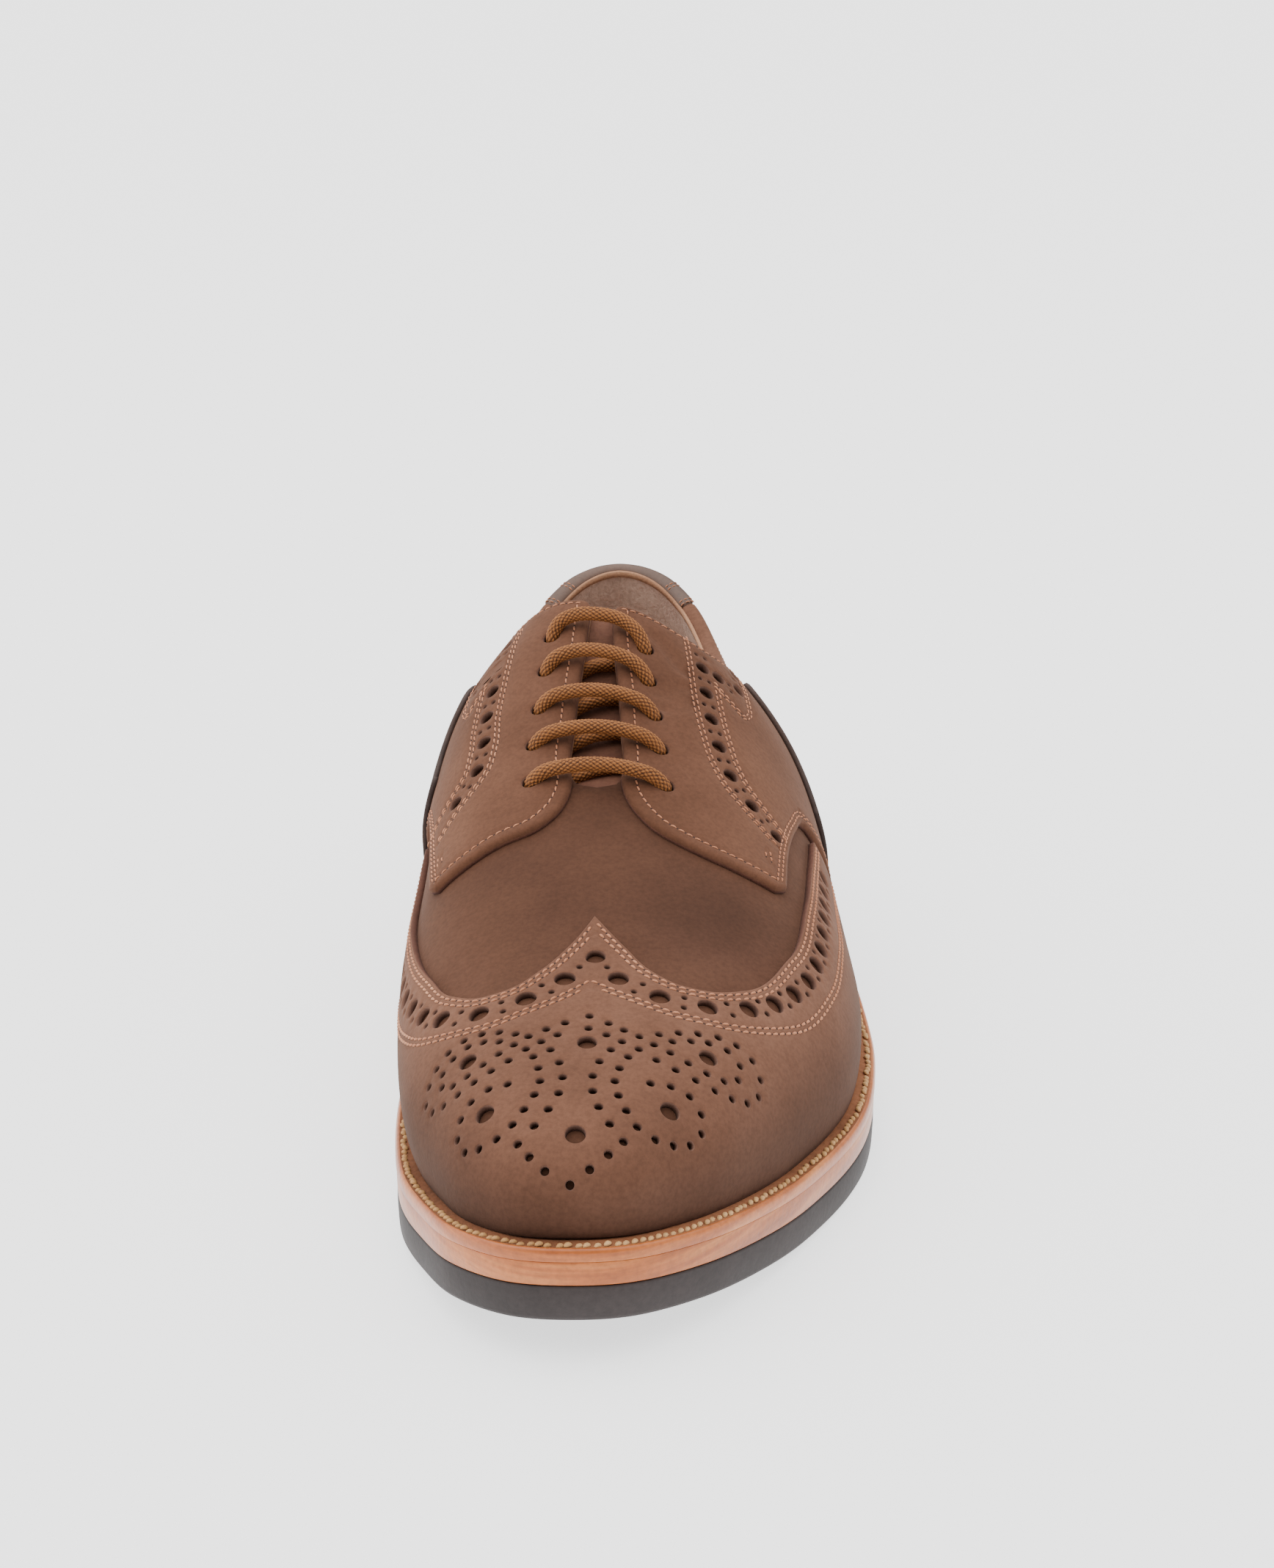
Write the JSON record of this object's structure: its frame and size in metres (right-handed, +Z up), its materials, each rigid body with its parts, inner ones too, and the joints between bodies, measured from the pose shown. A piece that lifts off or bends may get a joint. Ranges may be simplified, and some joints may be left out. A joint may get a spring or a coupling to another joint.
{
  "type": "full brogue derby shoe",
  "caption": "Left full brogue derby in brown nubuck with wing cap, derby quarters, laced facings, tan leather welt and a dark rubber sole with a low heel.",
  "frame": {"origin": "on the floor under the middle of the shoe's bounding box", "axes": "+Z up, -Y towards the toe, +Y towards the heel, +X towards the outer (little toe) side of the left foot"},
  "size_m": [0.1163, 0.3026, 0.1084],
  "materials": {
    "brown_nubuck": "matt oiled nubuck, dark raw edges",
    "lining": "grey-brown suede lining",
    "tan_welt_leather": "natural tan, smooth waxed edge",
    "dark_rubber": "matt dark grey-brown",
    "golden_brown_lace": "round braided cotton"
  },
  "bodies": {
    "root": {"upper": "brown_nubuck", "wing_cap": "brown_nubuck", "quarter_medial": "brown_nubuck", "quarter_lateral": "brown_nubuck", "counter": "brown_nubuck", "collar_binding": "brown_nubuck", "tongue": "brown_nubuck", "lace": "golden_brown_lace", "insole": "lining", "welt": "tan_welt_leather", "midsole": "tan_welt_leather", "outsole": "dark_rubber", "heel": "dark_rubber", "heel_top_piece": "dark_rubber"}
  },
  "joints": []
}
